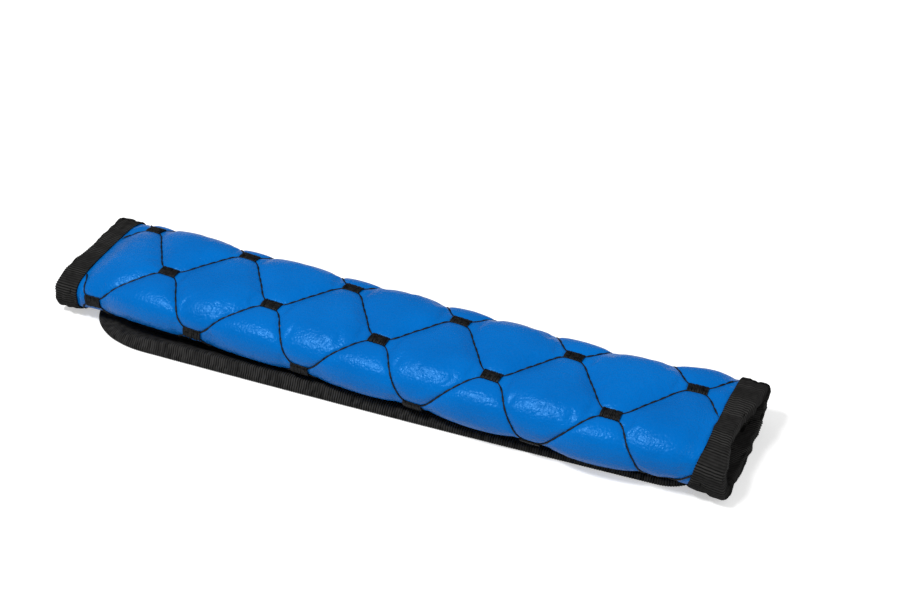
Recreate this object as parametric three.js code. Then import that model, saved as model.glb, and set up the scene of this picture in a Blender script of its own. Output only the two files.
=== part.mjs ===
// A seat belt shoulder pad: a quilted, padded sheet folded into a flat tube round the belt.
// Millimetres. +X runs along the pad, +Y goes to its back, +Z is up. The pad rests on z = 0.
import * as THREE from 'three';

// Overall size of the folded tube, at the level of the stitch lines
const padLength = 298;
const halfWidth = { left: 27, middle: 25.2, right: 27.8 };
const centreY = { left: 5.5, middle: 0, right: 7 };
const topZ = { left: 18, middle: 25.3, right: 22.8 };
const sectionPower = 3.4;
const leftTaper = 48;
const rightTaper = 60;
const leftLift = 30;
const rightLift = 24;

// The sheet: leather skin, foam and lining, from the outside in
const coverThickness = 0.8;
const foamAtStitches = 0.5;
const liningThickness = 0.5;
const clearance = 0.3;
const liningClearance = 0.4;

// Quilting: tacks lie in staggered rows, and the rows run a little askew along the tube
const quiltPitch = 50;
const rowSpacing = 25;
const puffHeight = 2.3;
const puffPower = 0.5;
const middleRowAt = -10.3;
const rowSkew = 0.04;
const puffsStartAt = -1.75 * rowSpacing;
const frontEdgeAt = -2.66 * rowSpacing;
const backEdgeAt = 2.25 * rowSpacing;
const frontDraw = 4;
const frontDrawWidth = 32;
const frontDrawFade = 8;
const stepsPerPitch = 8;
const stepsPerRow = 4;
const flatHem = 9.5;
const puffFade = 10;

// Bar tacks at the crossings
const tackLength = 9;
const tackWidth = 5.5;
const tackThickness = 1.1;
const tackSeat = 0.9;

// Ribbed tape folded over both ends
const bandWidth = 11.5;
const bandThickness = 0.6;
const bandInnerGap = 1.1;
const bandFoldRadius = 1.2;

// Closing flap under the tube, with its own folded tape
const flapStart = 18;
const flapEnd = 284.5;
const flapThickness = 1.2;
const flapFrontLeft = -31;
const flapFrontRight = -16.2;
const flapFrontBow = 1.2;
const leftCorner = { length: 30, depth: 19 };
const rightCorner = { length: 14, depth: 12 };
const flapSeamWidth = 8;
const flapRise = 8;
const flapTapeWidth = 10;
const flapTapeThickness = 0.45;
const flapTapeGap = 0.55;
const flapTapeMargin = 3;
const flapTapeFade = 5;
const flapArchHeight = 3.2;
const flapArchSpan = 8;
const flapArchPower = 0.55;
const flapArchShares = [0, 0.28, 0.6, 1];
const flapArchGrowth = 44;
const flapArchStarts = 90;
const flapArchEnds = 210;

// Hook and loop tapes of the closure
const hookThickness = 1.1;
const loopThickness = 1.1;
const closureWidth = 8;
const closureStart = 42;
const closureEnd = 252;
const closureColumns = 6;
const closureInset = -7;

const { smoothstep, lerp, euclideanModulo } = THREE.MathUtils;
const middleX = padLength / 2;
const bandStandoff = clearance + bandThickness;
const flapTapeLift = flapTapeGap + flapTapeThickness;
const closureStack = flapTapeLift + flapThickness + hookThickness + loopThickness + 3 * clearance;
const flapFadeStart = flapTapeWidth + flapTapeMargin;
const bottomZ = { left: bandStandoff, middle: closureStack, right: bandStandoff };
const foamLevel = -(coverThickness + clearance);
const liningLevel = foamLevel - foamAtStitches - liningClearance;
const insideLevel = liningLevel - liningThickness;
const sheetEnd = bandThickness + 2 * clearance;
const flapEdgeReaches = [...flapArchShares.map((share) => share * flapArchSpan), flapTapeWidth];

// A size that changes from the left end over the middle to the right end
function alongPad(x, values, leftLength, rightLength) {
  const toLeft = 1 - smoothstep(x, 0, leftLength);
  const toRight = smoothstep(x, padLength - rightLength, padLength);
  return values.middle + (values.left - values.middle) * toLeft + (values.right - values.middle) * toRight;
}

// The closed outline of the tube across its length, a flat rounded oval.
// It starts at the middle of the top and runs to the back first.
class TubeSection extends THREE.Curve {
  constructor(x) {
    super();
    const top = alongPad(x, topZ, leftTaper, rightTaper);
    const bottom = alongPad(x, bottomZ, leftLift, rightLift);
    this.centre = new THREE.Vector3(x, alongPad(x, centreY, leftTaper, rightTaper), (top + bottom) / 2);
    this.halfWidth = alongPad(x, halfWidth, leftTaper, rightTaper);
    this.halfHeight = (top - bottom) / 2;
    this.arcLengthDivisions = 400;
  }

  getPoint(t, target = new THREE.Vector3(), offset = 0) {
    const across = ovalTerm(Math.sin(2 * Math.PI * t));
    const up = ovalTerm(Math.cos(2 * Math.PI * t));
    target.set(0, (this.halfWidth + offset) * across, (this.halfHeight + offset) * up);
    return target.add(this.centre);
  }
}

function ovalTerm(value) {
  return Math.sign(value) * Math.abs(value) ** (2 / sectionPower);
}

const sections = new Map();

function sectionAt(x) {
  if (!sections.has(x)) sections.set(x, new TubeSection(x));
  return sections.get(x);
}

const girth = sectionAt(middleX).getLength();

// Where a line of the sheet lies round the tube, counted from the middle of the top to the back
function roundTube(x, across) {
  return across + middleRowAt - rowSkew * (x - middleX);
}

// The sheet is drawn a little to the left where it turns down at the front, but not under the end tapes
function drawnAlong(x, across) {
  const fromEnd = Math.min(x, padLength - x);
  const free = smoothstep(fromEnd, bandWidth, bandWidth + frontDrawFade);
  return x - frontDraw * free * smoothstep(-across, 0, frontDrawWidth);
}

// A point of the sheet: x along the tube, across from the middle row, and offset outwards
function onSheet(x, across, offset) {
  const section = sectionAt(drawnAlong(x, across));
  const turn = euclideanModulo(roundTube(x, across) / girth, 1);
  return section.getPoint(section.getUtoTmapping(turn), new THREE.Vector3(), offset);
}

// Height of the puffs over the stitch lines. It is nought on the lines, at the ends and at the hems.
function puff(x, across) {
  const along = (x - middleX) / quiltPitch;
  const slant = across / (2 * rowSpacing);
  const shape = Math.abs(Math.sin(Math.PI * (along + slant)) * Math.sin(Math.PI * (along - slant)));
  const fromEnd = Math.min(x, padLength - x) - bandWidth;
  const endFade = smoothstep(fromEnd, clearance, clearance + puffFade);
  const frontFade = smoothstep(across, puffsStartAt + flatHem, puffsStartAt + flatHem + puffFade);
  const backFade = 1 - smoothstep(across, backEdgeAt - flatHem - puffFade, backEdgeAt - flatHem);
  return puffHeight * shape ** puffPower * endFade * frontFade * backFade;
}

// A closed solid between two surfaces over the same grid. The corners of each cell are joined
// along the diagonal that chooses(column, row) asks for.
function sheetSolid(columns, rows, upper, lower, chooses = () => false) {
  const positions = [];
  for (const surface of [upper, lower]) {
    for (const column of columns) {
      for (const row of rows) positions.push(...surface(column, row).toArray());
    }
  }
  const perLayer = columns.length * rows.length;
  const at = (i, j, layer) => layer * perLayer + i * rows.length + j;
  const index = [];
  const quad = (a, b, c, d) => index.push(a, b, c, a, c, d);
  for (let i = 0; i + 1 < columns.length; i += 1) {
    for (let j = 0; j + 1 < rows.length; j += 1) {
      const top = [at(i, j, 0), at(i + 1, j, 0), at(i + 1, j + 1, 0), at(i, j + 1, 0)];
      const under = [at(i, j, 1), at(i, j + 1, 1), at(i + 1, j + 1, 1), at(i + 1, j, 1)];
      if (chooses(columns[i] + columns[i + 1], rows[j] + rows[j + 1])) {
        top.push(top.shift());
        under.push(under.shift());
      }
      quad(...top);
      quad(...under);
    }
  }
  const lastColumn = columns.length - 1;
  const lastRow = rows.length - 1;
  for (let i = 0; i < lastColumn; i += 1) {
    quad(at(i, 0, 0), at(i, 0, 1), at(i + 1, 0, 1), at(i + 1, 0, 0));
    quad(at(i, lastRow, 0), at(i + 1, lastRow, 0), at(i + 1, lastRow, 1), at(i, lastRow, 1));
  }
  for (let j = 0; j < lastRow; j += 1) {
    quad(at(0, j, 0), at(0, j + 1, 0), at(0, j + 1, 1), at(0, j, 1));
    quad(at(lastColumn, j, 0), at(lastColumn, j, 1), at(lastColumn, j + 1, 1), at(lastColumn, j + 1, 0));
  }
  return solidFrom(positions, index);
}

// A closed solid swept through rings of points, with the profile's outline capping each end
function sweptSolid(rings, profile) {
  const count = rings[0].length;
  const positions = rings.flatMap((ring) => ring.flatMap((point) => point.toArray()));
  const index = [];
  for (let i = 0; i + 1 < rings.length; i += 1) {
    for (let k = 0; k < count; k += 1) {
      const a = i * count + k;
      const b = i * count + (k + 1) % count;
      index.push(a, b, b + count, a, b + count, a + count);
    }
  }
  const last = (rings.length - 1) * count;
  const outline = profile.map(([u, v]) => new THREE.Vector2(u, v));
  for (const triangle of THREE.ShapeUtils.triangulateShape(outline, [])) {
    const turn = THREE.ShapeUtils.area(triangle.map((k) => outline[k]));
    const turnsAlike = turn * THREE.ShapeUtils.area(outline) > 0;
    const [a, b, c] = turnsAlike ? triangle : triangle.reverse();
    index.push(a, c, b);
    index.push(last + a, last + b, last + c);
  }
  return solidFrom(positions, index);
}

function solidFrom(positions, index) {
  const geometry = new THREE.BufferGeometry();
  geometry.setAttribute('position', new THREE.Float32BufferAttribute(positions, 3));
  geometry.setIndex(index);
  if (signedVolume(positions, index) < 0) {
    for (let k = 0; k < index.length; k += 3) [index[k], index[k + 1]] = [index[k + 1], index[k]];
    geometry.setIndex(index);
  }
  geometry.computeVertexNormals();
  return geometry;
}

function signedVolume(positions, index) {
  const corner = (k) => new THREE.Vector3().fromArray(positions, 3 * index[k]);
  let sum = 0;
  for (let k = 0; k < index.length; k += 3) sum += corner(k).dot(corner(k + 1).cross(corner(k + 2)));
  return sum / 6;
}

function evenSteps(from, to, count) {
  return Array.from({ length: count + 1 }, (unused, k) => lerp(from, to, k / count));
}

// Columns of the quilted sheet: one for each eighth of a pitch, and one at each end
function quiltColumns() {
  const step = quiltPitch / stepsPerPitch;
  const reach = Math.floor((middleX - bandWidth) / step);
  const inner = evenSteps(middleX - reach * step, middleX + reach * step, 2 * reach);
  return [sheetEnd, ...inner, padLength - sheetEnd];
}

// Rows of the quilted sheet, with one wide cell for the flat hem under the tube
function quiltRows() {
  const step = rowSpacing / stepsPerRow;
  const count = Math.round((backEdgeAt - puffsStartAt) / step);
  return [frontEdgeAt, ...evenSteps(puffsStartAt, backEdgeAt, count)];
}

// The same rows with each cell halved
function bandRows() {
  const rows = quiltRows();
  return [rows[0], ...rows.slice(1).flatMap((row, k) => [(rows[k] + row) / 2, row])];
}

// Cells next to a stitch line are split along it
function splitAlongStitches(twiceX, twiceAcross) {
  const along = (twiceX / 2 - middleX) / quiltPitch;
  const slant = twiceAcross / 2 / (2 * rowSpacing);
  return Math.abs(Math.sin(Math.PI * (along + slant))) < Math.abs(Math.sin(Math.PI * (along - slant)));
}

function quiltedCover() {
  const outer = (x, across) => onSheet(x, across, puff(x, across));
  const inner = (x, across) => onSheet(x, across, puff(x, across) - coverThickness);
  return sheetSolid(quiltColumns(), quiltRows(), outer, inner, splitAlongStitches);
}

function foamPad() {
  const outer = (x, across) => onSheet(x, across, puff(x, across) + foamLevel);
  const inner = (x, across) => onSheet(x, across, foamLevel - foamAtStitches);
  return sheetSolid(quiltColumns(), quiltRows(), outer, inner, splitAlongStitches);
}

// The lining has fewer columns where the tube runs straight
function innerLining() {
  const straight = (x) => x > leftTaper && x < padLength - rightTaper;
  const columns = quiltColumns().filter((x, k) => !straight(x) || k % 5 === 0);
  const outer = (x, across) => onSheet(x, across, liningLevel);
  const inner = (x, across) => onSheet(x, across, insideLevel);
  return sheetSolid(columns, quiltRows(), outer, inner);
}

// Tape folded over an end: an outer leg, a rounded fold and an inner leg
function endBinding(isRight) {
  const outside = clearance + bandThickness;
  const insideTop = insideLevel - bandInnerGap;
  const inside = insideTop - bandThickness;
  const innerFold = bandThickness + clearance;
  const profile = [
    [bandWidth, outside],
    [bandFoldRadius, outside],
    [0, outside - bandFoldRadius],
    [0, inside + bandFoldRadius],
    [bandFoldRadius, inside],
    [bandWidth, inside],
    [bandWidth, insideTop],
    [innerFold, insideTop],
    [innerFold, clearance],
    [bandWidth, clearance],
  ];
  const place = (fromEnd) => (isRight ? padLength - fromEnd : fromEnd);
  const rings = bandRows().map((across) => (
    profile.map(([fromEnd, offset]) => onSheet(place(fromEnd), across, offset))
  ));
  return sweptSolid(rings, profile);
}

// The free front edge of the flap, slanted, slightly bowed and rounded at both corners
function flapFront(x) {
  const share = (x - flapStart) / (flapEnd - flapStart);
  const line = lerp(flapFrontLeft, flapFrontRight, share) - 4 * flapFrontBow * share * (1 - share);
  return line + cornerDepth(x - flapStart, leftCorner) + cornerDepth(flapEnd - x, rightCorner);
}

// How far the rounding of a corner lies behind the straight edge, at a distance from the flap's side
function cornerDepth(fromSide, corner) {
  const cut = Math.max(0, 1 - fromSide / corner.length);
  return corner.depth * (1 - Math.sqrt(1 - cut * cut));
}

// Height of the tube's underside over a point of the ground, with the tube made larger by offset
function tubeUnderside(x, y, offset) {
  const section = sectionAt(x);
  const share = Math.min(1, Math.abs(y - section.centre.y) / (section.halfWidth + offset));
  const depth = (1 - share ** sectionPower) ** (1 / sectionPower);
  return section.centre.z - (section.halfHeight + offset) * depth;
}

function sheetBackEdge(x) {
  return onSheet(x, backEdgeAt, 0).y;
}

function flapBack(x) {
  return onSheet(x, backEdgeAt - flapSeamWidth, 0).y;
}

// Height of the flap's underside: flat on the ground, raised where the tape goes round its edge,
// arched at its free edge and sewn to the underside of the tube at its back
function flapFloor(x, y) {
  const fromFront = Math.max(0, y - flapFront(x));
  const fromEdge = Math.min(fromFront, x - flapStart, flapEnd - x);
  const raise = flapTapeLift * (1 - smoothstep(fromEdge, flapFadeStart, flapFadeStart + flapTapeFade));
  const growth = smoothstep(x, flapStart, flapStart + flapArchGrowth);
  const archHeight = flapArchHeight * growth * (1 - smoothstep(x, flapArchStarts, flapArchEnds));
  const archShare = Math.min(1, fromFront / flapArchSpan);
  const arch = archHeight * Math.sin(Math.PI * archShare ** flapArchPower);
  const edge = sheetBackEdge(x);
  const sewn = tubeUnderside(x, y, clearance + flapThickness);
  return lerp(raise + arch, Math.max(sewn, raise), smoothstep(y, edge - flapRise, edge));
}

function flapColumns() {
  const shares = [0, 0.25, 0.5, 0.75].map((share) => 1 - Math.cos(share * Math.PI / 2));
  const middle = evenSteps(flapStart + leftCorner.length, flapEnd - rightCorner.length, 9);
  const left = shares.map((share) => flapStart + leftCorner.length * share);
  const right = shares.map((share) => flapEnd - rightCorner.length * share).reverse();
  return [...left, ...middle, ...right];
}

function flapRiseStart(x) {
  return sheetBackEdge(x) - flapRise;
}

function overFlap(x, y, height) {
  return new THREE.Vector3(x, y, flapFloor(x, y) + height);
}

// Rows of the flap at one column: over the arch, over the rise to the tube and over the seam
function flapRowsAt(x) {
  const front = flapFront(x);
  const rise = flapRiseStart(x);
  const bound = flapEdgeReaches.map((reach) => front + reach);
  const flatStart = front + flapFadeStart + flapTapeFade;
  const overRise = evenSteps(rise, sheetBackEdge(x), 2);
  const overSeam = evenSteps(sheetBackEdge(x), flapBack(x), 2).slice(1);
  return [...bound, flatStart, ...overRise, ...overSeam];
}

function closingFlap() {
  const rows = flapRowsAt(middleX).map((y, k) => k);
  const upper = (x, row) => overFlap(x, flapRowsAt(x)[row], flapThickness);
  const lower = (x, row) => overFlap(x, flapRowsAt(x)[row], 0);
  return sheetSolid(flapColumns(), rows, upper, lower);
}

// The flap's outline from its left side round the front to its right side, seen from above
function flapOutline() {
  const front = flapColumns().map((x) => new THREE.Vector2(x, flapFront(x)));
  const side = (x) => {
    const [back, middle] = evenSteps(flapRiseStart(x) - flapTapeMargin, flapFront(x), 2);
    return [new THREE.Vector2(x, back), new THREE.Vector2(x, middle)];
  };
  return [...side(flapStart), ...front, ...side(flapEnd).reverse()];
}

// Tape folded over the flap's free edges
function flapBinding() {
  const below = -flapTapeGap;
  const above = flapThickness + flapTapeGap;
  const inwards = [...flapEdgeReaches].reverse();
  const profile = [
    ...inwards.map((reach) => [reach, below - flapTapeThickness]),
    [-flapTapeLift, below],
    [-flapTapeLift, above],
    ...flapEdgeReaches.map((reach) => [reach, above + flapTapeThickness]),
    ...inwards.map((reach) => [reach, above]),
    [-flapTapeGap, above],
    [-flapTapeGap, below],
    ...flapEdgeReaches.map((reach) => [reach, below]),
  ];
  const outline = flapOutline();
  const rings = outline.map((point, k) => {
    const before = outline[Math.max(0, k - 1)];
    const after = outline[Math.min(outline.length - 1, k + 1)];
    const ahead = after.clone().sub(before).normalize();
    return profile.map(([reach, height]) => {
      const near = Math.max(0, reach);
      const floor = flapFloor(point.x - ahead.y * near, point.y + ahead.x * near);
      return new THREE.Vector3(point.x - ahead.y * reach, point.y + ahead.x * reach, floor + height);
    });
  });
  return sweptSolid(rings, profile);
}

// The strip of the sheet's front hem that holds the closure
function closureRow(share) {
  return puffsStartAt + closureInset + share * closureWidth;
}

function loopTape() {
  const upper = (x, share) => onSheet(x, closureRow(share), clearance + loopThickness);
  const lower = (x, share) => onSheet(x, closureRow(share), clearance);
  return sheetSolid(evenSteps(closureStart, closureEnd, closureColumns), [0, 0.5, 1], upper, lower);
}

// The hook tape lies on the flap right under the loop tape
function hookTape() {
  const under = (x, share) => onSheet(x, closureRow(share), 0).y;
  const upper = (x, share) => overFlap(x, under(x, share), flapThickness + clearance + hookThickness);
  const lower = (x, share) => overFlap(x, under(x, share), flapThickness + clearance);
  return sheetSolid(evenSteps(closureStart, closureEnd, closureColumns), [0, 1], upper, lower);
}

// A tack lies over each crossing of the stitch lines, turned with its row and with the tube
function addTacks(material) {
  const rows = [
    { name: 'front', across: -rowSpacing, first: -2.5, count: 6 },
    { name: 'middle', across: 0, first: -2, count: 5 },
    { name: 'back', across: rowSpacing, first: -2.5, count: 6 },
  ];
  for (const { name, across, first, count } of rows) {
    for (let k = 0; k < count; k += 1) {
      const geometry = new THREE.BoxGeometry(tackLength, tackWidth, tackThickness);
      const tack = addPart(`${name}_bar_tack_${k + 1}`, geometry, material);
      seatTack(tack, middleX + (first + k) * quiltPitch, across);
    }
  }
}

function seatTack(tack, x, across) {
  const between = (from, to) => onSheet(...to, 0).sub(onSheet(...from, 0)).normalize();
  const ahead = between([x - tackLength / 2, across], [x + tackLength / 2, across]);
  const sideways = between([x, across - tackWidth / 2], [x, across + tackWidth / 2]);
  const outwards = new THREE.Vector3().crossVectors(ahead, sideways).normalize();
  sideways.crossVectors(outwards, ahead);
  tack.quaternion.setFromRotationMatrix(new THREE.Matrix4().makeBasis(ahead, sideways, outwards));
  tack.position.copy(onSheet(x, across, 0)).addScaledVector(outwards, tackSeat + tackThickness / 2);
}

const root = new THREE.Group();

function addPart(name, geometry, material) {
  const mesh = new THREE.Mesh(geometry, material);
  mesh.name = name;
  root.add(mesh);
  return mesh;
}

const leather = new THREE.MeshStandardMaterial({ color: 0x0a70cc, roughness: 0.42, metalness: 0 });
const foam = new THREE.MeshStandardMaterial({ color: 0x4a4c50, roughness: 0.95, metalness: 0 });
const knit = new THREE.MeshStandardMaterial({ color: 0x17181a, roughness: 0.95, metalness: 0 });
const thread = new THREE.MeshStandardMaterial({ color: 0x101012, roughness: 0.55, metalness: 0 });
const closureTape = new THREE.MeshStandardMaterial({ color: 0x1b1b1d, roughness: 0.9, metalness: 0 });
const ribbedTape = new THREE.MeshStandardMaterial({ color: 0x232323, roughness: 0.8, metalness: 0 });

addPart('quilted_cover', quiltedCover(), leather);
addPart('foam_pad', foamPad(), foam);
addPart('inner_lining', innerLining(), knit);
addPart('left_end_binding', endBinding(false), ribbedTape);
addPart('right_end_binding', endBinding(true), ribbedTape);
addPart('closing_flap', closingFlap(), knit);
addPart('flap_binding', flapBinding(), ribbedTape);
addPart('hook_tape', hookTape(), closureTape);
addPart('loop_tape', loopTape(), closureTape);
addTacks(thread);

// The origin is the middle of the pad's footprint, on the ground
const box = new THREE.Box3().setFromObject(root);
const footprint = box.getCenter(new THREE.Vector3());
root.position.set(-footprint.x, -footprint.y, -box.min.z);

export default root;
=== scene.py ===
"""The looks of a quilted seat belt shoulder pad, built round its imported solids. Lengths are millimetres
in the pad's own measure, where x starts at its left end, until point() turns them into metres."""
import math

import bpy
import numpy as np
from mathutils import Matrix, Vector


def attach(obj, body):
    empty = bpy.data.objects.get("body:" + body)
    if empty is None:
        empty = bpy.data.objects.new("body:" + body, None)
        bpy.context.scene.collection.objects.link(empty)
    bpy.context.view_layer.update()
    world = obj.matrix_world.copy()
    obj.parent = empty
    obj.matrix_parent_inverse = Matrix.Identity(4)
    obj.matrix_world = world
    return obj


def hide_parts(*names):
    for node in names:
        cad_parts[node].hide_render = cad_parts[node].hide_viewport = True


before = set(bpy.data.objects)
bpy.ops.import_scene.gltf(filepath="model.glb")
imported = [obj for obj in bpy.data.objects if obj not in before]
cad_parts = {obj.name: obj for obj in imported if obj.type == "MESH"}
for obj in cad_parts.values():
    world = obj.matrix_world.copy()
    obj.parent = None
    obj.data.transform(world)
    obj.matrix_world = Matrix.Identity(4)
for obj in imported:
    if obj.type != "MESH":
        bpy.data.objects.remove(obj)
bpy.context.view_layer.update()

# Sizes of the solids
PAD_LENGTH = 298.0
MIDDLE = PAD_LENGTH / 2
HALF_WIDTH = (27, 25.2, 27.8)
CENTRE_Y = (5.5, 0, 7)
TOP_Z = (18, 25.3, 22.8)
POWER = 3.4
LEFT_TAPER, RIGHT_TAPER = 48, 60
LEFT_LIFT, RIGHT_LIFT = 30, 24
COVER, FOAM_AT_STITCHES, LINING = 0.8, 0.5, 0.5
CLEAR, LINING_CLEAR = 0.3, 0.4
PITCH, ROW = 50.0, 25.0
PUFF, PUFF_POWER = 2.5, 0.45
MIDDLE_ROW_AT, SKEW = -10.3, 0.04
PUFFS_START, FRONT_EDGE, BACK_EDGE = -1.75 * ROW, -2.66 * ROW, 2.25 * ROW
DRAW, DRAW_WIDE, DRAW_FADE = 4, 32, 8
RIM_PULL, RIM_PULL_AT, RIM_PULL_WIDE = (1.8, 3.6), 8, 15
HEM, PUFF_FADE = 9.5, 10
TACK_LONG, TACK_WIDE, TACK_THICK, TACK_SEAT = 9.0, 5.5, 1.1, 0.9
BAND, BAND_THICK, BAND_INNER_GAP, BAND_FOLD = 11.5, 0.6, 1.1, 1.2
FLAP_START, FLAP_END, FLAP_THICK = 18.0, 284.5, 1.2
FLAP_LEFT, FLAP_RIGHT, FLAP_BOW = -31, -16.2, 1.2
LEFT_CORNER, RIGHT_CORNER = (30, 19), (14, 12)
FLAP_SEAM, FLAP_RISE = 8, 8
TAPE_WIDE, TAPE_THICK, TAPE_GAP, TAPE_MARGIN, TAPE_FADE = 10, 0.45, 0.55, 3, 5
ARCH_HIGH, ARCH_SPAN, ARCH_POWER, ARCH_GROWTH, ARCH_STARTS, ARCH_ENDS = 3.2, 8, 0.55, 44, 90, 210
HOOK, LOOP = 1.1, 1.1
CLOSURE_WIDE, CLOSURE_START, CLOSURE_END, CLOSURE_INSET = 8, 42, 252, -7
STACK = TAPE_GAP + TAPE_THICK + FLAP_THICK + HOOK + LOOP + 3 * CLEAR
STANDOFF = CLEAR + BAND_THICK
BOTTOM_Z = (STANDOFF, STACK, STANDOFF)
FOAM_LEVEL = -(COVER + CLEAR)
LINING_LEVEL = FOAM_LEVEL - FOAM_AT_STITCHES - LINING_CLEAR
INSIDE_LEVEL = LINING_LEVEL - LINING
SHEET_END = BAND_THICK + 2 * CLEAR
FOOT_Y = -2.4374

# Sizes of the looks
GATHER_REACH, GATHER_ALONG, GATHER_ACROSS = 9, 0.44, 0.34
TACK_PINNED = (4.4, 2.6)
TACK_CLEAR = (4.0, 2.3)
SIM_PRESSURE, SIM_FRAMES, SIM_SLACK, SIM_SCALE = 0.5, 24, 0.02, 50.0
SIM_START, SIM_MAX_MOVE = 0.85, 0.0006
LINE_CREASE = 0.8
FOAM_FILL, FOAM_SHY = 0.93, 0.15
STITCH, STITCH_GAP, STITCH_SCATTER = 4.0, 0.35, 0.15
# The middle radius is of the dark cord that stands for the shade in the stitch grooves (painted shade).
STITCH_RADIUS, GROOVE_SHADE_CORD_RADIUS, THREAD_HEIGHT = 0.0004, 0.0003, 0.3
TACK_THREADS, TACK_THREAD_RADIUS, TACK_TRIM = 13, 0.00034, 1.7
END_RIB, FLAP_RIB, RIB_DEPTH = 1.06, 1.0, 0.4
LOWEST_TAPE = 0.02
PILE = 0.15


def point(x, y, z):
    return np.stack(np.broadcast_arrays((x - MIDDLE) / 1000, (y + FOOT_Y) / 1000, np.asarray(z) / 1000), -1)


def smoothstep(v, low, high):
    t = np.clip((v - low) / (high - low), 0, 1)
    return t * t * (3 - 2 * t)


def along_pad(x, values, left_length, right_length):
    left, middle, right = values
    return (middle + (left - middle) * (1 - smoothstep(x, 0, left_length))
            + (right - middle) * smoothstep(x, PAD_LENGTH - right_length, PAD_LENGTH))


def section(x):
    """Centre y and z, and half width and height, of the tube at x."""
    top = along_pad(x, TOP_Z, LEFT_TAPER, RIGHT_TAPER)
    bottom = along_pad(x, BOTTOM_Z, LEFT_LIFT, RIGHT_LIFT)
    return (along_pad(x, CENTRE_Y, LEFT_TAPER, RIGHT_TAPER), (top + bottom) / 2,
            along_pad(x, HALF_WIDTH, LEFT_TAPER, RIGHT_TAPER), (top - bottom) / 2)


def oval_term(v):
    return np.sign(v) * np.abs(v) ** (2 / POWER)


SECTION_X = np.linspace(0, PAD_LENGTH, 299)
TURN_STEPS = 4000
SECTION_T = np.linspace(0, 1, TURN_STEPS + 1)


def turn_tables():
    """For each section, the curve's parameter at even steps of its length."""
    _, _, half_width, half_height = section(SECTION_X)
    y = half_width[:, None] * oval_term(np.sin(2 * np.pi * SECTION_T))
    z = half_height[:, None] * oval_term(np.cos(2 * np.pi * SECTION_T))
    steps = np.hypot(np.diff(y), np.diff(z))
    length = np.concatenate([np.zeros((len(SECTION_X), 1)), np.cumsum(steps, 1)], 1)
    table = np.array([np.interp(SECTION_T, row / row[-1], SECTION_T) for row in length])
    return table, np.interp(MIDDLE, SECTION_X, length[:, -1])


TURN_TABLE, GIRTH = turn_tables()


def drawn_along(x, across):
    """Where a point of the sheet lies along the pad: it is drawn left where it turns down at the
    front, and the upper wall's rim gives way inwards at both mouths."""
    free = smoothstep(np.minimum(x, PAD_LENGTH - x), BAND, BAND + DRAW_FADE)
    drawn = x - DRAW * free * smoothstep(-across, 0, DRAW_WIDE)
    upper = np.exp(-(((across - RIM_PULL_AT) / RIM_PULL_WIDE) ** 2))
    return (drawn + RIM_PULL[0] * upper * (1 - smoothstep(x, 0, BAND))
            - RIM_PULL[1] * upper * smoothstep(x, PAD_LENGTH - BAND, PAD_LENGTH))


def on_sheet_yz(x, across, offset):
    x, across, offset = np.broadcast_arrays(*(np.asarray(v, float) for v in (x, across, offset)))
    turn = np.mod((across + MIDDLE_ROW_AT - SKEW * (x - MIDDLE)) / GIRTH, 1)
    x = drawn_along(x, across)
    i = np.clip(x, 0, PAD_LENGTH - 1e-6).astype(int)
    fx = np.clip(x, 0, PAD_LENGTH) - i
    k = np.minimum((turn * TURN_STEPS).astype(int), TURN_STEPS - 1)
    part = turn * TURN_STEPS - k
    low = TURN_TABLE[i, k] * (1 - part) + TURN_TABLE[i, k + 1] * part
    high = TURN_TABLE[i + 1, k] * (1 - part) + TURN_TABLE[i + 1, k + 1] * part
    t = low * (1 - fx) + high * fx
    centre_y, centre_z, half_width, half_height = section(x)
    return (centre_y + (half_width + offset) * oval_term(np.sin(2 * np.pi * t)),
            centre_z + (half_height + offset) * oval_term(np.cos(2 * np.pi * t)))


def on_sheet(x, across, offset):
    y, z = on_sheet_yz(x, across, offset)
    return point(drawn_along(np.asarray(x, float), np.asarray(across, float)), y, z)


def puff(x, across):
    along, slant = (x - MIDDLE) / PITCH, across / (2 * ROW)
    shape = np.abs(np.sin(np.pi * (along + slant)) * np.sin(np.pi * (along - slant)))
    from_end = np.minimum(x, PAD_LENGTH - x) - BAND
    fade = smoothstep(from_end, CLEAR, CLEAR + PUFF_FADE)
    fade = fade * smoothstep(across, PUFFS_START + HEM, PUFFS_START + HEM + PUFF_FADE)
    fade = fade * (1 - smoothstep(across, BACK_EDGE - HEM - PUFF_FADE, BACK_EDGE - HEM))
    return PUFF * shape ** PUFF_POWER * fade


def knots():
    """Name, x and across of each crossing that has a bar tack."""
    rows = (("front", -ROW, -2.5, 6), ("middle", 0.0, -2.0, 5), ("back", ROW, -2.5, 6))
    for name, across, first, count in rows:
        for k in range(count):
            yield f"{name}_bar_tack_{k + 1}", MIDDLE + (first + k) * PITCH, across


def gathered(x, across):
    """Stitch lines end at the corners of the tacks, so the sheet is drawn in across its rows there."""
    x, across = np.array(x, float), np.array(across, float)
    move_x, move_a = np.zeros_like(x), np.zeros_like(across)
    for _, kx, ka in knots():
        dx, da = x - kx, across - ka
        near = np.exp(-(dx * dx + da * da) / GATHER_REACH ** 2)
        move_x += GATHER_ALONG * near * dx
        move_a -= GATHER_ACROSS * near * da
    return x + move_x, across + move_a


# Meshes

def make(name, verts, faces, material, smooth=True):
    mesh = bpy.data.meshes.new(name)
    mesh.from_pydata(np.asarray(verts, float).reshape(-1, 3).tolist(), [], faces)
    mesh.update()
    mesh.polygons.foreach_set("use_smooth", [smooth] * len(mesh.polygons))
    mesh.materials.append(material)
    obj = bpy.data.objects.new(name, mesh)
    bpy.context.scene.collection.objects.link(obj)
    return obj


def grid_faces(rows, columns, start=0, flip=False):
    faces = []
    for i in range(rows - 1):
        for j in range(columns - 1):
            a = start + i * columns + j
            quad = (a, a + columns, a + columns + 1, a + 1)
            faces.append(quad[::-1] if flip else quad)
    return faces


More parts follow.
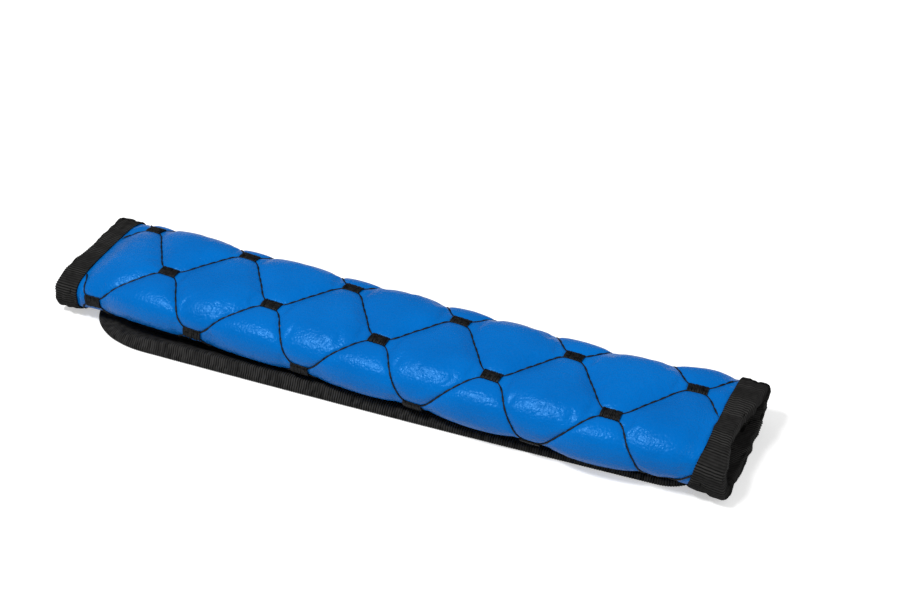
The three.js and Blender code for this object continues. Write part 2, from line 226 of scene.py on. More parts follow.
def sheet_solid(name, upper, lower, material):
    """A closed sheet between two grids of points."""
    n, m = upper.shape[:2]
    verts = np.concatenate([upper.reshape(-1, 3), lower.reshape(-1, 3)])
    faces = grid_faces(n, m) + grid_faces(n, m, n * m, flip=True)
    rim = [i * m for i in range(n)] + [(n - 1) * m + j for j in range(1, m)]
    rim += [i * m + m - 1 for i in range(n - 2, -1, -1)] + list(range(m - 2, 0, -1))
    for a, b in zip(rim, rim[1:] + rim[:1]):
        faces.append((b, a, a + n * m, b + n * m))
    obj = make(name, verts, faces, material)
    face_outwards(obj)
    return obj


def mark_crests(obj, values):
    crest = obj.data.attributes.new("crest", "FLOAT", "POINT")
    crest.data.foreach_set("value", np.asarray(values, float).ravel())


def swept(name, rings, material):
    """A closed solid through rings of points, capped at both ends."""
    n, m = rings.shape[:2]
    faces = []
    for i in range(n - 1):
        for k in range(m):
            a, b = i * m + k, i * m + (k + 1) % m
            faces.append((a, b, b + m, a + m))
    faces.append(tuple(range(m))[::-1])
    faces.append(tuple((n - 1) * m + k for k in range(m)))
    obj = make(name, rings, faces, material)
    face_outwards(obj)
    return obj


def face_outwards(obj):
    mesh = obj.data
    mesh.calc_loop_triangles()
    index = np.zeros(len(mesh.loop_triangles) * 3, int)
    mesh.loop_triangles.foreach_get("vertices", index)
    co = np.zeros(len(mesh.vertices) * 3)
    mesh.vertices.foreach_get("co", co)
    co = co.reshape(-1, 3)
    a, b, c = (co[index.reshape(-1, 3)[:, k]] for k in range(3))
    if np.einsum("ij,ij->i", a, np.cross(b, c)).sum() < 0:
        mesh.flip_normals()


def wave(p, size, seed, octaves=2):
    """Smooth seeded noise from -1 to 1 over any coordinates, one value a point."""
    p = np.asarray(p, float) / size
    rng = np.random.default_rng(seed)
    total, weight = np.zeros(p.shape[:-1]), 0.0
    for octave in range(octaves):
        for _ in range(5):
            k = rng.normal(size=p.shape[-1])
            k *= 2 ** octave * 2 * np.pi * rng.uniform(0.6, 1.3) / np.linalg.norm(k)
            total += np.sin(p @ k + rng.uniform(0, 6.28)) / 2 ** octave
        weight += 2.2 / 2 ** octave
    return total / weight


# Materials

class Nodes:
    """A short way to write a node tree."""

    def __init__(self, name):
        self.material = bpy.data.materials.new(name)
        self.material.use_nodes = True
        self.tree = self.material.node_tree
        self.shader = self.tree.nodes["Principled BSDF"]

    def add(self, kind, inputs=None, **settings):
        node = self.tree.nodes.new(kind)
        for key, value in settings.items():
            setattr(node, key, value)
        for key, value in (inputs or {}).items():
            self.set(node.inputs[key], value)
        return node

    def set(self, socket, value):
        if isinstance(value, bpy.types.NodeSocket):
            self.tree.links.new(value, socket)
        else:
            socket.default_value = value

    def math(self, operation, a, b):
        return self.add("ShaderNodeMath", {0: a, 1: b}, operation=operation).outputs[0]

    def ramp(self, fac, stops):
        node = self.add("ShaderNodeValToRGB", {"Fac": fac})
        elements = node.color_ramp.elements
        while len(elements) < len(stops):
            elements.new(0.5)
        for element, (position, value) in zip(elements, stops):
            element.position = position
            element.color = (*value, 1) if isinstance(value, tuple) else (value, value, value, 1)
        return node.outputs["Color"]

    def coords(self, scale=(1, 1, 1), rotation=(0, 0, 0)):
        source = self.add("ShaderNodeTexCoord").outputs["Object"]
        inputs = {"Vector": source, "Scale": scale, "Rotation": rotation}
        return self.add("ShaderNodeMapping", inputs).outputs[0]

    def noise(self, vector, scale, detail=2.0, roughness=0.5, distortion=0.0):
        inputs = {"Vector": vector, "Scale": scale, "Detail": detail, "Roughness": roughness,
                  "Distortion": distortion}
        return self.add("ShaderNodeTexNoise", inputs).outputs["Fac"]

    def cells(self, vector, scale, feature="F1"):
        inputs = {"Vector": vector, "Scale": scale}
        if feature == "SMOOTH_F1":
            inputs["Smoothness"] = 0.4
        return self.add("ShaderNodeTexVoronoi", inputs, feature=feature).outputs["Distance"]

    def bump(self, height, distance, strength, normal=None):
        inputs = {"Height": height, "Distance": distance, "Strength": strength}
        if normal is not None:
            inputs["Normal"] = normal
        return self.add("ShaderNodeBump", inputs).outputs["Normal"]

    def finish(self, **inputs):
        for key, value in inputs.items():
            self.set(self.shader.inputs[key.replace("_", " ")], value)
        return self.material


def blue_leather():
    n = Nodes("blue_leather_look")
    at = n.coords()
    pebble = n.cells(at, 900, "SMOOTH_F1")
    fine = n.noise(at, 2400, 3.0, 0.6)
    crease = n.noise(n.coords((1, 1.6, 1.6)), 260, 4.0, 0.62, 0.6)
    tone = n.noise(at, 45, 3.0)
    height = n.math("ADD", n.math("MULTIPLY", pebble, 0.9), n.math("MULTIPLY", fine, 0.35))
    normal = n.bump(crease, 0.0007, 0.4)
    normal = n.bump(height, 0.00022, 0.6, normal)
    colour = n.ramp(tone, [(0.25, (0.0, 0.126, 0.47)), (0.75, (0.0, 0.152, 0.55))])
    rough = n.ramp(pebble, [(0.1, 0.2), (0.8, 0.34)])
    return n.finish(Base_Color=colour, Roughness=rough, Normal=normal, IOR=1.4,
                    Specular_Tint=(0.16, 0.5, 0.9, 1))


def cloth(name, dark, light, scale, depth):
    n = Nodes(name)
    at = n.coords()
    weave = n.cells(at, scale)
    fuzz = n.noise(at, scale * 2.3, 3.0, 0.7)
    height = n.math("ADD", weave, n.math("MULTIPLY", fuzz, 0.6))
    colour = n.ramp(n.noise(at, scale * 0.6, 4.0), [(0.3, dark), (0.75, light)])
    return n.finish(Base_Color=colour, Roughness=0.85, Normal=n.bump(height, depth, 0.8), Sheen_Weight=0.15,
                    Sheen_Roughness=0.4)


def ribbed_tape():
    n = Nodes("ribbed_tape_look")
    at = n.coords()
    fuzz = n.noise(at, 3800, 3.0, 0.7)
    # The colour follows the ribs. Crests are lighter and grooves darker: partly wear and dirt, partly a
    # painted highlight on the crests and painted shade in the grooves. The added noise is random wear.
    crest = n.add("ShaderNodeAttribute", attribute_name="crest").outputs["Fac"]
    wear_and_rib_shading = n.math("ADD", crest, n.math("MULTIPLY", n.noise(at, 500, 3.0), 0.3))
    colour = n.ramp(wear_and_rib_shading, [(0.4, (0.0012, 0.0012, 0.0012)), (1.0, (0.036, 0.035, 0.034))])
    return n.finish(Base_Color=colour, Roughness=0.7, Normal=n.bump(fuzz, 0.00008, 0.7), IOR=1.2)


def black_thread():
    n = Nodes("black_thread_look")
    at = n.coords()
    twist = n.noise(n.coords(rotation=(0.5, 0.3, 0.6)), 3000, 2.0, 0.6)
    # The noise spreads light specks through the near-black colour; these specks are painted highlights along
    # the stitches and across the tack threads.
    colour = n.ramp(n.noise(at, 900, 3.0), [(0.35, (0.0015, 0.0015, 0.0018)), (0.75, (0.02, 0.02, 0.02))])
    return n.finish(Base_Color=colour, Roughness=0.5, Normal=n.bump(twist, 0.00006, 0.6), IOR=1.33)


def foam_look():
    n = Nodes("foam_look")
    at = n.coords()
    pores = n.cells(at, 1600)
    # The pore pits are painted darker than their rims: painted shade.
    colour = n.ramp(pores, [(0.1, (0.03, 0.032, 0.035)), (0.7, (0.085, 0.09, 0.095))])
    return n.finish(Base_Color=colour, Roughness=0.95, Normal=n.bump(pores, 0.0002, 0.8))


LEATHER = blue_leather()
KNIT = cloth("black_knit_look", (0.011, 0.011, 0.012), (0.028, 0.028, 0.029), 1500, 0.00015)
CLOSURE = cloth("closure_tape_look", (0.008, 0.008, 0.009), (0.022, 0.022, 0.023), 1900, 0.0003)
TAPE = ribbed_tape()
THREAD = black_thread()
FOAM = foam_look()


# Quilted leather

# Grid steps in a pitch: stitch lines then run along the grid's diagonals.
FINE = 40
STEP_X, STEP_A = PITCH / FINE, ROW / (FINE / 2)


def quilt_grid():
    reach = int((MIDDLE - SHEET_END - CLEAR) / STEP_X)
    i = np.arange(-reach, reach + 1)
    j = np.arange(round(FRONT_EDGE / STEP_A), round(BACK_EDGE / STEP_A) + 1)
    return i, j


def stitched(i, j):
    return ((i + j) % FINE == 0) | ((i - j) % FINE == 0)


def inflate(verts, faces, pins):
    """Blows the sheet up between its pinned stitch lines. Works on a model fifty times as large."""
    mesh = bpy.data.meshes.new("inflating")
    mesh.from_pydata((verts * SIM_SCALE).tolist(), [], faces)
    obj = bpy.data.objects.new("inflating", mesh)
    bpy.context.scene.collection.objects.link(obj)
    group = obj.vertex_groups.new(name="pins")
    group.add([int(k) for k in np.flatnonzero(pins)], 1.0, "REPLACE")
    cloth_mod = obj.modifiers.new("Cloth", "CLOTH")
    s = cloth_mod.settings
    s.quality = 6
    s.mass = 0.3
    s.tension_stiffness = 40
    s.compression_stiffness = 40
    s.shear_stiffness = 12
    s.bending_stiffness = 1.2
    s.tension_damping = 8
    s.compression_damping = 8
    s.shear_damping = 8
    s.air_damping = 4
    s.vertex_group_mass = "pins"
    s.use_pressure = True
    s.uniform_pressure_force = SIM_PRESSURE
    s.shrink_min = -SIM_SLACK
    s.effector_weights.gravity = 0
    cloth_mod.collision_settings.use_collision = False
    cloth_mod.collision_settings.use_self_collision = False
    cloth_mod.point_cache.frame_start = 1
    cloth_mod.point_cache.frame_end = SIM_FRAMES
    scene = bpy.context.scene
    for number in range(1, SIM_FRAMES + 1):
        scene.frame_set(number)
    evaluated = obj.evaluated_get(bpy.context.evaluated_depsgraph_get())
    co = np.zeros(len(mesh.vertices) * 3)
    evaluated.data.vertices.foreach_get("co", co)
    bpy.data.objects.remove(obj)
    scene.frame_set(1)
    return co.reshape(-1, 3) / SIM_SCALE


def quilted_cover():
    i, j = quilt_grid()
    gi, gj = np.meshgrid(i, j, indexing="ij")
    x, across = MIDDLE + gi * STEP_X, gj * STEP_A
    x[0], x[-1] = SHEET_END, PAD_LENGTH - SHEET_END
    across[:, 0] = FRONT_EDGE
    wx, wa = gathered(x, across)
    wx[0], wx[-1] = x[0], x[-1]
    height = puff(x, across)
    start = on_sheet(wx, wa, SIM_START * height)
    level = on_sheet(wx, wa, 0)
    pins = stitched(gi, gj) | (height < 0.02)
    for _, kx, ka in knots():
        pins |= (np.abs(wx - kx) < TACK_PINNED[0]) & (np.abs(wa - ka) < TACK_PINNED[1])
    start[pins] = level[pins]
    n, m = gi.shape
    faces = []
    for a in range(n - 1):
        for b in range(m - 1):
            p = a * m + b
            q, r, s = p + m, p + m + 1, p + 1
            if (i[a] - j[b]) % FINE == 0:
                faces += [(p, q, r), (p, r, s)]
            elif (i[a + 1] + j[b]) % FINE == 0:
                faces += [(p, q, s), (q, r, s)]
            else:
                faces.append((p, q, r, s))
    start, pins = start.reshape(-1, 3), pins.ravel()
    result = on_sheet(wx, wa, height).reshape(-1, 3)
    move = inflate(start, faces, pins) - result
    size = np.linalg.norm(move, axis=1, keepdims=True)
    result = result + move * np.minimum(1, SIM_MAX_MOVE / np.maximum(size, 1e-9))
    result[pins] = start[pins]
    obj = make("quilted_leather", result, faces, LEATHER)
    crease_stitch_lines(obj, gi.ravel(), gj.ravel())
    apply_subdivision(obj)
    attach(obj, "root")
    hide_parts("quilted_cover")
    return result.reshape(n, m, 3), x, across


def crease_stitch_lines(obj, gi, gj):
    mesh = obj.data
    crease = mesh.attributes.new("crease_edge", "FLOAT", "EDGE")
    values = np.zeros(len(mesh.edges))
    pairs = np.zeros(len(mesh.edges) * 2, int)
    mesh.edges.foreach_get("vertices", pairs)
    a, b = pairs.reshape(-1, 2).T
    diagonal = (gi[a] != gi[b]) & (gj[a] != gj[b])
    both = stitched(gi[a], gj[a]) & stitched(gi[b], gj[b])
    values[diagonal & both] = LINE_CREASE
    crease.data.foreach_set("value", values)


def apply_subdivision(obj):
    mod = obj.modifiers.new("Subdivision", "SUBSURF")
    mod.levels = mod.render_levels = 1
    mod.boundary_smooth = "PRESERVE_CORNERS"
    evaluated = obj.evaluated_get(bpy.context.evaluated_depsgraph_get())
    mesh = bpy.data.meshes.new_from_object(evaluated)
    obj.modifiers.clear()
    old = obj.data
    obj.data = mesh
    bpy.data.meshes.remove(old)
    mesh.name = obj.name
    mesh.polygons.foreach_set("use_smooth", [True] * len(mesh.polygons))


def foam_core(skin, x, across):
    """The foam follows the leather inwards of it, on every fourth point."""
    pick = (slice(None, None, 4), slice(None, None, 4))
    xs, rows = x[pick], across[pick]
    wx, wa = gathered(xs, rows)
    wx[0], wx[-1] = xs[0], xs[-1]
    inner = on_sheet(wx, wa, FOAM_LEVEL - FOAM_AT_STITCHES)
    level = on_sheet(wx, wa, 0)
    outwards = level - inner
    outwards /= np.linalg.norm(outwards, axis=2, keepdims=True)
    rise = np.einsum("ijk,ijk->ij", skin[pick] - level, outwards)
    filled = np.maximum(0, 1000 * rise * FOAM_FILL - FOAM_SHY)
    outer = on_sheet(wx, wa, FOAM_LEVEL + filled)
    obj = sheet_solid("foam_core", outer, inner, FOAM)
    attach(obj, "root")
    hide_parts("foam_pad")


def inner_lining():
    x = np.linspace(SHEET_END, PAD_LENGTH - SHEET_END, 120)
    rows = np.linspace(FRONT_EDGE, BACK_EDGE, 73)
    gx, ga = np.meshgrid(x, rows, indexing="ij")
    soft = 0.12 * wave(np.stack([gx, ga], -1), 14, 5)
    obj = sheet_solid("inner_lining_cloth", on_sheet(gx, ga, LINING_LEVEL),
                      on_sheet(gx, ga, INSIDE_LEVEL + soft), KNIT)
    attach(obj, "root")
    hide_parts("inner_lining")


# Stitching

def tube(path, radius, sides=6):
    """Rings round a path, with rounded ends. Returns vertices and faces."""
    path = np.asarray(path)
    ahead = np.gradient(path, axis=0)
    ahead /= np.linalg.norm(ahead, axis=1, keepdims=True)
    side = np.cross(ahead, (0.0, 0.0, 1.0))
    bad = np.linalg.norm(side, axis=1) < 1e-6
    side[bad] = (0, 1, 0)
    side /= np.linalg.norm(side, axis=1, keepdims=True)
    up = np.cross(side, ahead)
    share = np.linspace(0, 1, len(path))
    thick = radius * np.sqrt(np.clip(1 - (2 * share - 1) ** 6, 0.12, 1))
    angle = np.linspace(0, 2 * np.pi, sides, endpoint=False)
    rings = path[:, None] + thick[:, None, None] * (np.cos(angle)[None, :, None] * side[:, None]
                                                     + np.sin(angle)[None, :, None] * up[:, None])
    n, faces = len(path), []
    for a in range(n - 1):
        for k in range(sides):
            p, q = a * sides + k, a * sides + (k + 1) % sides
            faces.append((p, q, q + sides, p + sides))
    faces.append(tuple(range(sides))[::-1])
    faces.append(tuple((n - 1) * sides + k for k in range(sides)))
    return rings.reshape(-1, 3), faces


def join_parts(name, parts, material):
    verts, faces, start = [], [], 0
    for v, f in parts:
        verts.append(v)
        faces += [tuple(k + start for k in face) for face in f]
        start += len(v)
    return make(name, np.concatenate(verts), faces, material)


def near_a_knot(x, across):
    return any(abs(x - kx) < TACK_CLEAR[0] and abs(across - ka) < TACK_CLEAR[1] for _, kx, ka in knots())


def quilting_thread():
    """Short raised stitches along every diagonal that shows."""
    rng = np.random.default_rng(11)
    parts = []
    for sign in (1, -1):
        for k in range(-5, 6):
            across = np.linspace(PUFFS_START + 1, BACK_EDGE - 1, 900)
            x = MIDDLE + PITCH * (k - sign * across / (2 * ROW))
            keep = (x > BAND + 0.5) & (x < PAD_LENGTH - BAND - 0.5)
            if keep.sum() < 20:
                continue
            wx, wa = gathered(x[keep], across[keep])
            line = on_sheet(wx, wa, 0.28)
            gone = np.concatenate([[0], np.cumsum(np.linalg.norm(np.diff(line, axis=0), axis=1))]) * 1000
            # A continuous dark cord under the stitches along the whole line: painted shade of the stitch
            # groove and needle holes between the stitches.
            parts.append(tube(line - (0, 0, 0.0001), GROOVE_SHADE_CORD_RADIUS))
            at = rng.uniform(0, STITCH)
            while at + STITCH < gone[-1]:
                s = np.linspace(at, at + STITCH, 6)
                px = np.interp(s, gone, wx)
                pa = np.interp(s, gone, wa)
                if not (near_a_knot(px[0], pa[0]) or near_a_knot(px[-1], pa[-1])):
                    height = THREAD_HEIGHT * (1 - np.linspace(-1, 1, 6) ** 4)
                    parts.append(tube(on_sheet(px, pa, height), STITCH_RADIUS))
                at += STITCH + STITCH_GAP + rng.uniform(-STITCH_SCATTER, STITCH_SCATTER)
    obj = join_parts("quilting_thread", parts, THREAD)
    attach(obj, "root")


def bar_tacks():
    """Satin blocks: threads side by side across each crossing."""
    for index, (name, x, across) in enumerate(knots()):
        rng = np.random.default_rng(100 + index)
        seat = on_sheet(x, across, 0)
        ahead = on_sheet(x + TACK_LONG / 2, across, 0) - on_sheet(x - TACK_LONG / 2, across, 0)
        ahead /= np.linalg.norm(ahead)
        sideways = on_sheet(x, across + TACK_WIDE / 2, 0) - on_sheet(x, across - TACK_WIDE / 2, 0)
        out = np.cross(ahead, sideways)
        out /= np.linalg.norm(out)
        sideways = np.cross(out, ahead)
        parts = []
        for k in range(TACK_THREADS):
            u = (k / (TACK_THREADS - 1) - 0.5) * (TACK_LONG - TACK_TRIM) + rng.normal(0, 0.05)
            reach = TACK_WIDE / 2 * (1 + rng.normal(0, 0.035))
            v = np.linspace(-1, 1, 11)
            arch = 0.55 * (1 - np.abs(v) ** 3.0) + 0.35
            edge = 0.12 * np.cos(np.pi * u / TACK_LONG)
            lean = 0.12 * rng.normal()
            path = (seat + np.outer((u + lean * v) / 1000, ahead) + np.outer(v * reach / 1000, sideways)
                    + np.outer((arch + edge + rng.normal(0, 0.03)) / 1000, out))
            parts.append(tube(path, TACK_THREAD_RADIUS, 8))
        corners = ((-1, -1), (1, -1), (1, 1), (-1, 1))
        low = np.array([seat + ahead * (a * 0.0036) + sideways * (b * 0.0024) - out * 0.0004
                        for a, b in corners])
        block = [(3, 2, 1, 0), (4, 5, 6, 7), (0, 1, 5, 4), (1, 2, 6, 5), (2, 3, 7, 6), (3, 0, 4, 7)]
        parts.append((np.concatenate([low, low + out * 0.0010]), block))
        obj = join_parts(name.replace("bar_tack", "satin_tack"), parts, THREAD)
        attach(obj, "root")
        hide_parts(name)


# Ribbed tapes

def rib(distance, pitch, depth):
    """Height of the ribs of grosgrain over a length of tape."""
    return depth * (np.abs(np.cos(np.pi * distance / pitch)) ** 0.7 - 0.6)


def end_binding(right):
    """Tape folded over an open end. The ribs run along the pad, across the tape."""
    outside = STANDOFF
    inside_top = INSIDE_LEVEL - BAND_INNER_GAP
    inside = inside_top - BAND_THICK
    fold = BAND_THICK + CLEAR
    r = BAND_FOLD
    outer = [(BAND, outside - 0.25), (BAND - 0.4, outside)]
    outer += [(d, outside) for d in np.linspace(BAND - 2.2, r + 0.6, 8)]
    turn = np.linspace(0, np.pi / 2, 6)
    outer += [(r - r * math.sin(a), outside - r + r * math.cos(a)) for a in turn]
    outer += [(0, level) for level in np.linspace(outside - r - 0.7, inside + r + 0.7, 5)]
    outer += [(r - r * math.cos(a), inside + r - r * math.sin(a)) for a in turn]
    outer += [(d, inside) for d in np.linspace(r + 0.6, BAND - 0.4, 8)]
    inner = [(BAND, inside_top), (fold, inside_top), (fold, CLEAR), (BAND, CLEAR)]
    ribbed = np.array([1.0] * len(outer) + [0.0] * len(inner))
    profile = np.array(outer + inner)
    inward = np.zeros_like(profile)
    inward[:2] = (0, 1)
    count = len(outer)
    for k in range(count):
        d = profile[min(count - 1, k + 1)] - profile[max(0, k - 1)]
        d = d / np.linalg.norm(d)
        inward[k] = (d[1], -d[0])
    across = np.linspace(FRONT_EDGE - 0.55, BACK_EDGE + 0.55, 901)
    seed, slips = (31, 0.7) if right else (21, 0.35)
    worn = smoothstep(wave(np.stack([across, 0 * across], -1), 13, seed), -0.35, 0.4)
    wider = 3.2 * smoothstep(-across, 0, 28) * (1 - smoothstep(-across, 44, 60)) if right else 0 * across
    rings = np.zeros((len(across), len(profile), 3))
    crests = np.zeros((len(across), len(profile)))
    for k in range(len(profile)):
        slip_at = np.stack([across, 0 * across + profile[k, 0] * 0.6], -1)
        bulge_at = np.stack([across, 0 * across + 3 * profile[k, 0]], -1)
        slip = slips * wave(slip_at, 18, seed + 1) * ribbed[k]
        bulge = 0.3 * wave(bulge_at, 12, seed + 2) * ribbed[k]
        high = rib(across, END_RIB, RIB_DEPTH) * (0.45 + 0.55 * worn) * ribbed[k] + bulge
        # Crest values for the tape's colour: lighter on rib crests as a painted highlight, darker in grooves
        # as painted shade, mixed with wear.
        crests[:, k] = (0.45 + rib(across, END_RIB, 1.0) * (0.25 + 0.75 * worn)) * ribbed[k]
        from_end = profile[k, 0] + inward[k, 0] * -high + np.abs(slip) * (profile[k, 0] < 3) * ribbed[k]
        if profile[k, 1] > -CLEAR:
            from_end = from_end + wider * profile[k, 0] / BAND
        level = profile[k, 1] + inward[k, 1] * -high
        x = PAD_LENGTH - from_end if right else from_end
        rings[:, k] = on_sheet(x, across, level)
    rings[..., 2] = np.maximum(rings[..., 2], LOWEST_TAPE / 1000)
    name = "right_end_tape" if right else "left_end_tape"
    obj = swept(name, rings, TAPE)
    mark_crests(obj, crests)
    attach(obj, "root")
    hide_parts("right_end_binding" if right else "left_end_binding")


def flap_front(x):
    share = (x - FLAP_START) / (FLAP_END - FLAP_START)
    line = FLAP_LEFT + (FLAP_RIGHT - FLAP_LEFT) * share - 4 * FLAP_BOW * share * (1 - share)
    for from_side, (long, deep) in ((x - FLAP_START, LEFT_CORNER), (FLAP_END - x, RIGHT_CORNER)):
        cut = np.clip(1 - from_side / long, 0, 1)
        line = line + deep * (1 - np.sqrt(1 - cut * cut))
    return line


def tube_underside(x, y, offset):
    centre_y, centre_z, half_width, half_height = section(x)
    share = np.minimum(1, np.abs(y - centre_y) / (half_width + offset))
    return centre_z - (half_height + offset) * (1 - share ** POWER) ** (1 / POWER)


def back_edge_y(x):
    return on_sheet_yz(x, BACK_EDGE, 0)[0]


def flap_back_y(x):
    return on_sheet_yz(x, BACK_EDGE - FLAP_SEAM, 0)[0]


def flap_floor(x, y):
    from_front = np.maximum(0, y - flap_front(x))
    from_edge = np.minimum(from_front, np.minimum(x - FLAP_START, FLAP_END - x))
    start = TAPE_WIDE + TAPE_MARGIN
    lift = (TAPE_GAP + TAPE_THICK) * (1 - smoothstep(from_edge, start, start + TAPE_FADE))
    high = ARCH_HIGH * smoothstep(x, FLAP_START, FLAP_START + ARCH_GROWTH)
    high = high * (1 - smoothstep(x, ARCH_STARTS, ARCH_ENDS))
    arch = high * np.sin(np.pi * np.minimum(1, from_front / ARCH_SPAN) ** ARCH_POWER)
    edge = back_edge_y(x)
    sewn = tube_underside(x, y, CLEAR + FLAP_THICK)
    t = smoothstep(y, edge - FLAP_RISE, edge)
    return (lift + arch) * (1 - t) + np.maximum(sewn, lift) * t


def closing_flap():
    x = FLAP_START + (FLAP_END - FLAP_START) * (1 - np.cos(np.linspace(0, np.pi, 160))) / 2
    share = np.linspace(0, 1, 64)
    gx = np.repeat(x[:, None], len(share), 1)
    front, back = flap_front(x)[:, None], flap_back_y(x)[:, None]
    gy = front + (back - front) * share
    floor = flap_floor(gx, gy)
    obj = sheet_solid("closing_flap_cloth", point(gx, gy, floor + FLAP_THICK), point(gx, gy, floor), KNIT)
    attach(obj, "root")
    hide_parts("closing_flap")


def flap_binding():
    """Ribbed tape folded over the flap's free edge and its rounded corners."""
    def side(x):
        start = back_edge_y(x) - FLAP_RISE - TAPE_MARGIN
        return np.stack([np.full(60, x), np.linspace(start, flap_front(x), 61)[:-1]], -1)

    t = 1 - np.cos(np.linspace(0, np.pi / 2, 200)[:-1])
    left, right = LEFT_CORNER[0], RIGHT_CORNER[0]
    straight = np.linspace(FLAP_START + left, FLAP_END - right, 1500)[:-1]
    front_x = np.concatenate([FLAP_START + left * t, straight, (FLAP_END - right * t)[::-1]])
    front = np.stack([front_x, flap_front(front_x)], -1)
    path = np.concatenate([side(FLAP_START), front, side(FLAP_END)[::-1]])
    gone = np.concatenate([[0], np.cumsum(np.linalg.norm(np.diff(path, axis=0), axis=1))])
    count = int(gone[-1] / 0.2)
    s = np.linspace(0, gone[-1], count)
    px, py = np.interp(s, gone, path[:, 0]), np.interp(s, gone, path[:, 1])
    dx, dy = np.gradient(px), np.gradient(py)
    soft = np.ones(15) / 15
    dx = np.convolve(np.pad(dx, 7, mode="edge"), soft, "valid")
    dy = np.convolve(np.pad(dy, 7, mode="edge"), soft, "valid")
    size = np.hypot(dx, dy)
    dx, dy = dx / size, dy / size
    below, above = -TAPE_GAP, FLAP_THICK + TAPE_GAP
    fold = TAPE_GAP + TAPE_THICK
    reaches = [0, 1.2, 2.2, 3.4, 4.8, 6.2, 7.6, 8.8, TAPE_WIDE]
    lower = [(reach, below - TAPE_THICK, 0, -1) for reach in reversed(reaches)]
    nose = [(-fold * math.sin(a), (above + below) / 2 - (above - below + 2 * TAPE_THICK) / 2 * math.cos(a),
             -math.sin(a), -math.cos(a)) for a in np.linspace(0.25, np.pi - 0.25, 7)]
    upper = [(reach, above + TAPE_THICK, 0, 1) for reach in reaches]
    inner = [(reach, above, 0, 0) for reach in reversed(reaches)] + [(-TAPE_GAP, above - 0.2, 0, 0),
                                                                     (-TAPE_GAP, below + 0.2, 0, 0)]
    inner += [(reach, below, 0, 0) for reach in reaches]
    profile = lower + nose + upper + inner
    ribs = rib(s, FLAP_RIB, RIB_DEPTH)
    worn = 0.6 + 0.4 * smoothstep(wave(np.stack([s, 0 * s], -1), 15, 41), -0.6, 0.3)
    rings = np.zeros((count, len(profile), 3))
    for k, (reach, height, push, lift) in enumerate(profile):
        high = ribs * worn
        r = reach + high * push
        near = np.maximum(0, reach)
        floor = flap_floor(np.clip(px - dy * near, FLAP_START, FLAP_END), py + dx * near)
        z = floor + height + high * lift
        if lift < 0:
            z = np.maximum(z, LOWEST_TAPE)
        rings[:, k] = point(px - dy * r, py + dx * r, z)
    obj = swept("flap_edge_tape", rings, TAPE)
    # Crest values for the tape's colour: lighter on rib crests as a painted highlight, darker in grooves as
    # painted shade, mixed with wear and random blotches.
    blotch_at = np.stack(np.meshgrid(s, [row[0] for row in profile], indexing="ij"), -1)
    mark_crests(obj, (0.45 + rib(s, FLAP_RIB, 1.0) * worn)[:, None] + 0.18 * wave(blotch_at, 3.5, 43))
    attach(obj, "root")
    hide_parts("flap_binding")


def closure_tapes():
    x = np.linspace(CLOSURE_START, CLOSURE_END, 200)
    share = np.linspace(0, 1, 17)
    gx, gs = np.meshgrid(x, share, indexing="ij")
    row = PUFFS_START + CLOSURE_INSET + gs * CLOSURE_WIDE
    pile = 0.12 * wave(np.stack([gx, 6 * gs], -1), 1.7, 61)
    loop = sheet_solid("loop_tape_cloth", on_sheet(gx, row, CLEAR + LOOP - PILE + pile),
                       on_sheet(gx, row, CLEAR), CLOSURE)
    under = on_sheet_yz(gx, row, 0)[0]
    floor = flap_floor(gx, under) + FLAP_THICK + CLEAR
    hook = sheet_solid("hook_tape_cloth", point(gx, under, floor + HOOK - PILE + pile),
                       point(gx, under, floor), CLOSURE)
    for obj, node in ((loop, "loop_tape"), (hook, "hook_tape")):
        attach(obj, "root")
        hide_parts(node)


# Camera, light and ground

def add_camera():
    focal, spot = 1758.3, (257.71, -491.83, 467.46)
    yaw, pitch, roll = (math.radians(v) for v in (24.845, 38.082, -0.456))
    forward = Vector((-math.sin(yaw) * math.cos(pitch), math.cos(yaw) * math.cos(pitch), -math.sin(pitch)))
    level = Vector((math.cos(yaw), math.sin(yaw), 0))
    lift = level.cross(forward)
    right = level * math.cos(roll) + lift * math.sin(roll)
    up = lift * math.cos(roll) - level * math.sin(roll)
    data = bpy.data.cameras.new("camera")
    data.sensor_width = 36
    data.lens = 36 * focal / 920
    data.clip_start = 0.01
    camera = bpy.data.objects.new("camera", data)
    camera.matrix_world = Matrix((right, up, -forward)).transposed().to_4x4()
    camera.location = [v / 1000 for v in spot]
    bpy.context.scene.collection.objects.link(camera)
    bpy.context.scene.camera = camera


def add_lamp(name, at, aim, size, power):
    data = bpy.data.lights.new(name, "AREA")
    data.shape = "RECTANGLE"
    data.size, data.size_y = size
    data.energy = power
    lamp = bpy.data.objects.new(name, data)
    lamp.location = at
    lamp.rotation_euler = (Vector(aim) - Vector(at)).to_track_quat("-Z", "Y").to_euler()
    bpy.context.scene.collection.objects.link(lamp)


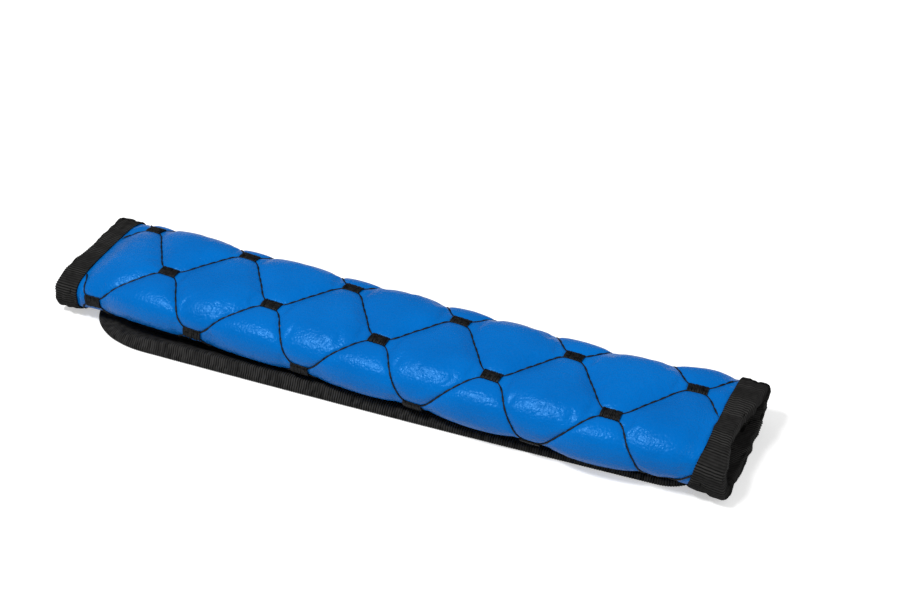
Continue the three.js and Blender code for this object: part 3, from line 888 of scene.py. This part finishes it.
def add_ground():
    n = Nodes("ground_look")
    grain = n.noise(n.coords(), 30, 3.0)
    path = n.add("ShaderNodeLightPath")
    bounced = n.ramp(grain, [(0.3, 0.62), (0.7, 0.64)])
    mixed = n.add("ShaderNodeMix", data_type="RGBA")
    n.set(mixed.inputs[0], path.outputs["Is Camera Ray"])
    n.set(mixed.inputs[6], bounced)
    n.set(mixed.inputs[7], (0.8, 0.8, 0.8, 1))
    n.finish(Base_Color=mixed.outputs[2], Roughness=0.9)
    emission = n.add("ShaderNodeEmission", {"Color": (1, 1, 1, 1), "Strength": 0.45})
    black = n.add("ShaderNodeEmission", {"Color": (0, 0, 0, 1), "Strength": 0.0})
    seen = n.add("ShaderNodeMixShader", {"Fac": path.outputs["Is Camera Ray"]})
    n.tree.links.new(black.outputs[0], seen.inputs[1])
    n.tree.links.new(emission.outputs[0], seen.inputs[2])
    both = n.add("ShaderNodeAddShader")
    n.tree.links.new(n.shader.outputs[0], both.inputs[0])
    n.tree.links.new(seen.outputs[0], both.inputs[1])
    n.tree.links.new(both.outputs[0], n.tree.nodes["Material Output"].inputs["Surface"])
    reach, level = 3.0, -2e-5
    corners = [(-reach, -reach, level), (reach, -reach, level), (reach, reach, level), (-reach, reach, level)]
    ground = make("ground", corners, [(0, 1, 2, 3)], n.material, False)


def add_world():
    world = bpy.data.worlds.new("world")
    bpy.context.scene.world = world
    world.use_nodes = True
    tree = world.node_tree
    tree.nodes.clear()
    path = tree.nodes.new("ShaderNodeLightPath")
    levels = []
    for strength in (0.42, 0.06, 1.0):
        background = tree.nodes.new("ShaderNodeBackground")
        background.inputs["Color"].default_value = (1, 1, 1, 1)
        background.inputs["Strength"].default_value = strength
        levels.append(background)
    glossy, seen = tree.nodes.new("ShaderNodeMixShader"), tree.nodes.new("ShaderNodeMixShader")
    tree.links.new(path.outputs["Is Glossy Ray"], glossy.inputs[0])
    tree.links.new(levels[0].outputs[0], glossy.inputs[1])
    tree.links.new(levels[1].outputs[0], glossy.inputs[2])
    tree.links.new(path.outputs["Is Camera Ray"], seen.inputs[0])
    tree.links.new(glossy.outputs[0], seen.inputs[1])
    tree.links.new(levels[2].outputs[0], seen.inputs[2])
    tree.links.new(seen.outputs[0], tree.nodes.new("ShaderNodeOutputWorld").inputs["Surface"])


foam_core(*quilted_cover())
inner_lining()
quilting_thread()
bar_tacks()
end_binding(False)
end_binding(True)
closing_flap()
flap_binding()
closure_tapes()
add_camera()
add_ground()
add_world()
# The lamp in front gives the puffs their highlights, and the one at the right lights the open mouth.
add_lamp("overhead", (-0.25, -0.42, 1.0), (0, 0, 0), (0.26, 0.16), 8.9)
add_lamp("right_fill", (0.62, -0.12, 0.34), (0.15, 0, 0), (0.3, 0.3), 0.95)
bpy.context.scene.view_settings.view_transform = "Standard"
